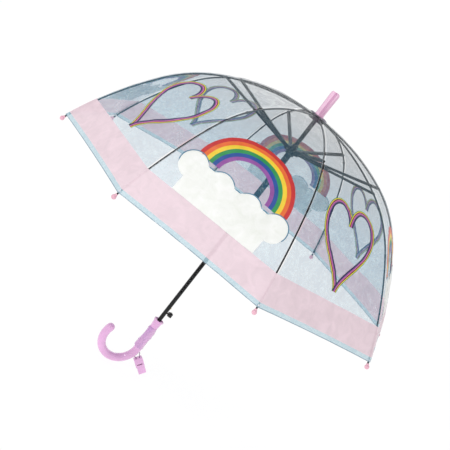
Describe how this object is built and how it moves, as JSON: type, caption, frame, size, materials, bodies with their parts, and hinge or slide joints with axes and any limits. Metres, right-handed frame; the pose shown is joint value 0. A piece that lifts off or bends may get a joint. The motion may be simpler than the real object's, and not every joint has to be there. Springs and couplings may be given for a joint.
{
  "type": "children's umbrella",
  "caption": "Child's dome umbrella with folding ribs and stretchers, sprung runner, clear printed canopy, ball tips, ferrule, hook handle and whistle.",
  "frame": {"origin": "on the shaft's axis, level with the lowest point of the hook handle", "axes": "+Z along the shaft towards the ferrule, the hook opens towards -X"},
  "size_m": [0.727, 0.727, 0.6562],
  "materials": {
    "black_steel": "satin black paint",
    "steel": "bright zinc",
    "pink_plastic": "glossy moulded plastic",
    "black_plastic": "moulded plastic",
    "catch_steel": "tempered spring strip",
    "film": "clear soft film with printed panels",
    "wrap_film": "thin clear wrapping film",
    "cord": "twisted cord",
    "cork": "cork"
  },
  "bodies": {
    "root": {"shaft": "black_steel", "ferrule": "pink_plastic", "crown_cap": "pink_plastic", "top_notch": "black_plastic", "notch_wire": "steel", "handle": "pink_plastic", "tip_cup": "pink_plastic", "grip_wrap": "wrap_film", "spring_stop": "steel", "opening_spring": "steel", "catch_spring": "catch_steel", "canopy_top": "film"},
    "runner": {"runner": "black_plastic", "runner_wire": "steel", "drive_pin": "steel", "spring_plunger": "steel"},
    "button": {"push_button": "black_plastic"},
    "whistle": {"whistle": "pink_plastic", "whistle_pea": "cork", "whistle_cord": "cord"},
    "rib_1": {"rib_1": "black_steel"},
    "rib_end_1": {"rib_end_1": "black_steel", "tip_1": "pink_plastic", "canopy_1": "film"},
    "stretcher_1": {"stretcher_1": "black_steel"},
    "rib_2": {"rib_2": "black_steel"},
    "rib_end_2": {"rib_end_2": "black_steel", "tip_2": "pink_plastic", "canopy_2": "film"},
    "stretcher_2": {"stretcher_2": "black_steel"},
    "rib_3": {"rib_3": "black_steel"},
    "rib_end_3": {"rib_end_3": "black_steel", "tip_3": "pink_plastic", "canopy_3": "film"},
    "stretcher_3": {"stretcher_3": "black_steel"},
    "rib_4": {"rib_4": "black_steel"},
    "rib_end_4": {"rib_end_4": "black_steel", "tip_4": "pink_plastic", "canopy_4": "film"},
    "stretcher_4": {"stretcher_4": "black_steel"},
    "rib_5": {"rib_5": "black_steel"},
    "rib_end_5": {"rib_end_5": "black_steel", "tip_5": "pink_plastic", "canopy_5": "film"},
    "stretcher_5": {"stretcher_5": "black_steel"},
    "rib_6": {"rib_6": "black_steel"},
    "rib_end_6": {"rib_end_6": "black_steel", "tip_6": "pink_plastic", "canopy_6": "film"},
    "stretcher_6": {"stretcher_6": "black_steel"},
    "rib_7": {"rib_7": "black_steel"},
    "rib_end_7": {"rib_end_7": "black_steel", "tip_7": "pink_plastic", "canopy_7": "film"},
    "stretcher_7": {"stretcher_7": "black_steel"},
    "rib_8": {"rib_8": "black_steel"},
    "rib_end_8": {"rib_end_8": "black_steel", "tip_8": "pink_plastic", "canopy_8": "film"},
    "stretcher_8": {"stretcher_8": "black_steel"}
  },
  "joints": [
    {"name": "runner_slide", "type": "slide", "parent": "root", "child": "runner", "axis": [0, 0, -1], "range_m": [0, 0.2644], "stiffness_N_per_m": 38, "springref_m": -0.13, "deforming": ["opening_spring", "catch_spring", "canopy_top", "canopy_1", "canopy_2", "canopy_3", "canopy_4", "canopy_5", "canopy_6", "canopy_7", "canopy_8"]},
    {"name": "button_press", "type": "slide", "parent": "root", "child": "button", "axis": [-1, 0, 0], "range_m": [0, 0.003], "stiffness_N_per_m": 100, "springref_m": -0.003},
    {"name": "whistle_swing", "type": "hinge", "parent": "root", "child": "whistle", "pos_m": [0.0063, 0, 0.035], "axis": [0, -1, 0], "range_deg": [-15, 40], "deforming": ["whistle_cord"]},
    {"name": "rib_fold_1", "type": "hinge", "parent": "root", "child": "rib_1", "pos_m": [-0.01154, 0.00266, 0.599], "axis": [-0.225, -0.9744, 0], "range_deg": [0, 71.5]},
    {"name": "rib_flex_1", "type": "hinge", "parent": "rib_1", "child": "rib_end_1", "pos_m": [-0.19833, 0.04579, 0.54889], "axis": [0.225, 0.9744, 0], "range_deg": [0, 33.5]},
    {"name": "stretcher_fold_1", "type": "hinge", "parent": "rib_1", "child": "stretcher_1", "pos_m": [-0.1736, 0.04008, 0.56182], "axis": [0.225, 0.9744, 0], "range_deg": [0, 143]},
    {"name": "rib_fold_2", "type": "hinge", "parent": "root", "child": "rib_2", "pos_m": [-0.01004, -0.00627, 0.599], "axis": [0.5299, -0.848, 0], "range_deg": [0, 71.5]},
    {"name": "rib_flex_2", "type": "hinge", "parent": "rib_2", "child": "rib_end_2", "pos_m": [-0.17261, -0.10786, 0.54889], "axis": [-0.5299, 0.848, 0], "range_deg": [0, 33.5]},
    {"name": "stretcher_fold_2", "type": "hinge", "parent": "rib_2", "child": "stretcher_2", "pos_m": [-0.15109, -0.09441, 0.56182], "axis": [-0.5299, 0.848, 0], "range_deg": [0, 143]},
    {"name": "rib_fold_3", "type": "hinge", "parent": "root", "child": "rib_3", "pos_m": [-0.00266, -0.01154, 0.599], "axis": [0.9744, -0.225, 0], "range_deg": [0, 71.5]},
    {"name": "rib_flex_3", "type": "hinge", "parent": "rib_3", "child": "rib_end_3", "pos_m": [-0.04579, -0.19833, 0.54889], "axis": [-0.9744, 0.225, 0], "range_deg": [0, 33.5]},
    {"name": "stretcher_fold_3", "type": "hinge", "parent": "rib_3", "child": "stretcher_3", "pos_m": [-0.04008, -0.1736, 0.56182], "axis": [-0.9744, 0.225, 0], "range_deg": [0, 143]},
    {"name": "rib_fold_4", "type": "hinge", "parent": "root", "child": "rib_4", "pos_m": [0.00627, -0.01004, 0.599], "axis": [0.848, 0.5299, 0], "range_deg": [0, 71.5]},
    {"name": "rib_flex_4", "type": "hinge", "parent": "rib_4", "child": "rib_end_4", "pos_m": [0.10786, -0.17261, 0.54889], "axis": [-0.848, -0.5299, 0], "range_deg": [0, 33.5]},
    {"name": "stretcher_fold_4", "type": "hinge", "parent": "rib_4", "child": "stretcher_4", "pos_m": [0.09441, -0.15109, 0.56182], "axis": [-0.848, -0.5299, 0], "range_deg": [0, 143]},
    {"name": "rib_fold_5", "type": "hinge", "parent": "root", "child": "rib_5", "pos_m": [0.01154, -0.00266, 0.599], "axis": [0.225, 0.9744, 0], "range_deg": [0, 71.5]},
    {"name": "rib_flex_5", "type": "hinge", "parent": "rib_5", "child": "rib_end_5", "pos_m": [0.19833, -0.04579, 0.54889], "axis": [-0.225, -0.9744, 0], "range_deg": [0, 33.5]},
    {"name": "stretcher_fold_5", "type": "hinge", "parent": "rib_5", "child": "stretcher_5", "pos_m": [0.1736, -0.04008, 0.56182], "axis": [-0.225, -0.9744, 0], "range_deg": [0, 143]},
    {"name": "rib_fold_6", "type": "hinge", "parent": "root", "child": "rib_6", "pos_m": [0.01004, 0.00627, 0.599], "axis": [-0.5299, 0.848, 0], "range_deg": [0, 71.5]},
    {"name": "rib_flex_6", "type": "hinge", "parent": "rib_6", "child": "rib_end_6", "pos_m": [0.17261, 0.10786, 0.54889], "axis": [0.5299, -0.848, 0], "range_deg": [0, 33.5]},
    {"name": "stretcher_fold_6", "type": "hinge", "parent": "rib_6", "child": "stretcher_6", "pos_m": [0.15109, 0.09441, 0.56182], "axis": [0.5299, -0.848, 0], "range_deg": [0, 143]},
    {"name": "rib_fold_7", "type": "hinge", "parent": "root", "child": "rib_7", "pos_m": [0.00266, 0.01154, 0.599], "axis": [-0.9744, 0.225, 0], "range_deg": [0, 71.5]},
    {"name": "rib_flex_7", "type": "hinge", "parent": "rib_7", "child": "rib_end_7", "pos_m": [0.04579, 0.19833, 0.54889], "axis": [0.9744, -0.225, 0], "range_deg": [0, 33.5]},
    {"name": "stretcher_fold_7", "type": "hinge", "parent": "rib_7", "child": "stretcher_7", "pos_m": [0.04008, 0.1736, 0.56182], "axis": [0.9744, -0.225, 0], "range_deg": [0, 143]},
    {"name": "rib_fold_8", "type": "hinge", "parent": "root", "child": "rib_8", "pos_m": [-0.00627, 0.01004, 0.599], "axis": [-0.848, -0.5299, 0], "range_deg": [0, 71.5]},
    {"name": "rib_flex_8", "type": "hinge", "parent": "rib_8", "child": "rib_end_8", "pos_m": [-0.10786, 0.17261, 0.54889], "axis": [0.848, 0.5299, 0], "range_deg": [0, 33.5]},
    {"name": "stretcher_fold_8", "type": "hinge", "parent": "rib_8", "child": "stretcher_8", "pos_m": [-0.09441, 0.15109, 0.56182], "axis": [0.848, 0.5299, 0], "range_deg": [0, 143]}
  ],
  "couplings": [
    {"joint": "rib_fold_1", "follows": "runner_slide", "rad_per_m": 4.6868},
    {"joint": "rib_flex_1", "follows": "runner_slide", "rad_per_m": 2.1784},
    {"joint": "stretcher_fold_1", "follows": "runner_slide", "rad_per_m": 9.3736},
    {"joint": "rib_fold_2", "follows": "runner_slide", "rad_per_m": 4.6868},
    {"joint": "rib_flex_2", "follows": "runner_slide", "rad_per_m": 2.1784},
    {"joint": "stretcher_fold_2", "follows": "runner_slide", "rad_per_m": 9.3736},
    {"joint": "rib_fold_3", "follows": "runner_slide", "rad_per_m": 4.6868},
    {"joint": "rib_flex_3", "follows": "runner_slide", "rad_per_m": 2.1784},
    {"joint": "stretcher_fold_3", "follows": "runner_slide", "rad_per_m": 9.3736},
    {"joint": "rib_fold_4", "follows": "runner_slide", "rad_per_m": 4.6868},
    {"joint": "rib_flex_4", "follows": "runner_slide", "rad_per_m": 2.1784},
    {"joint": "stretcher_fold_4", "follows": "runner_slide", "rad_per_m": 9.3736},
    {"joint": "rib_fold_5", "follows": "runner_slide", "rad_per_m": 4.6868},
    {"joint": "rib_flex_5", "follows": "runner_slide", "rad_per_m": 2.1784},
    {"joint": "stretcher_fold_5", "follows": "runner_slide", "rad_per_m": 9.3736},
    {"joint": "rib_fold_6", "follows": "runner_slide", "rad_per_m": 4.6868},
    {"joint": "rib_flex_6", "follows": "runner_slide", "rad_per_m": 2.1784},
    {"joint": "stretcher_fold_6", "follows": "runner_slide", "rad_per_m": 9.3736},
    {"joint": "rib_fold_7", "follows": "runner_slide", "rad_per_m": 4.6868},
    {"joint": "rib_flex_7", "follows": "runner_slide", "rad_per_m": 2.1784},
    {"joint": "stretcher_fold_7", "follows": "runner_slide", "rad_per_m": 9.3736},
    {"joint": "rib_fold_8", "follows": "runner_slide", "rad_per_m": 4.6868},
    {"joint": "rib_flex_8", "follows": "runner_slide", "rad_per_m": 2.1784},
    {"joint": "stretcher_fold_8", "follows": "runner_slide", "rad_per_m": 9.3736}
  ]
}
